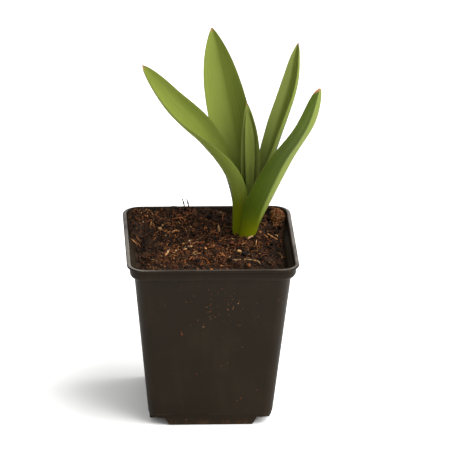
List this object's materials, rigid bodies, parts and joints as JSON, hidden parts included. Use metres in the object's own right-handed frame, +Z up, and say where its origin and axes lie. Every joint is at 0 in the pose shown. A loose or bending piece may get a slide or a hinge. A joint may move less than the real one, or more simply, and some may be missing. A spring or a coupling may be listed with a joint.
{
  "type": "potted ornamental allium",
  "caption": "Young bulb plant with broad channelled leaves rising from peat in a square tapered plastic nursery pot.",
  "frame": {"origin": "middle of the pot's flat foot, on the surface it stands on", "axes": "+Z up through the pot's mouth, -Y out of the pot's front face, +X to the right of that face"},
  "size_m": [0.1016, 0.0924, 0.1931],
  "materials": {
    "pot_plastic": "satin black polypropylene, dusty",
    "peat": "moist fibrous peat",
    "bulb_skin": "papery dry tunic",
    "leaf_blade": "smooth, waxy, finely striated",
    "bark": "raw torn wood",
    "peat_fibre": "matted dry fibre",
    "dry_moss": "dry, matt",
    "root": "dull, fibrous"
  },
  "bodies": {
    "root": {"nursery_pot": "pot_plastic", "potting_soil": "peat", "allium_bulb": "bulb_skin", "leaf_centre_inner": "leaf_blade", "leaf_centre_outer": "leaf_blade", "leaf_left": "leaf_blade", "leaf_right_back": "leaf_blade", "leaf_back_tall": "leaf_blade", "leaf_right_front": "leaf_blade", "bark_chip": "bark", "wood_chip": "bark", "wood_splinter": "bark", "peat_lump": "peat_fibre", "moss_stalk_left": "dry_moss", "moss_stalk_right": "dry_moss", "rootlet": "root"}
  },
  "joints": []
}
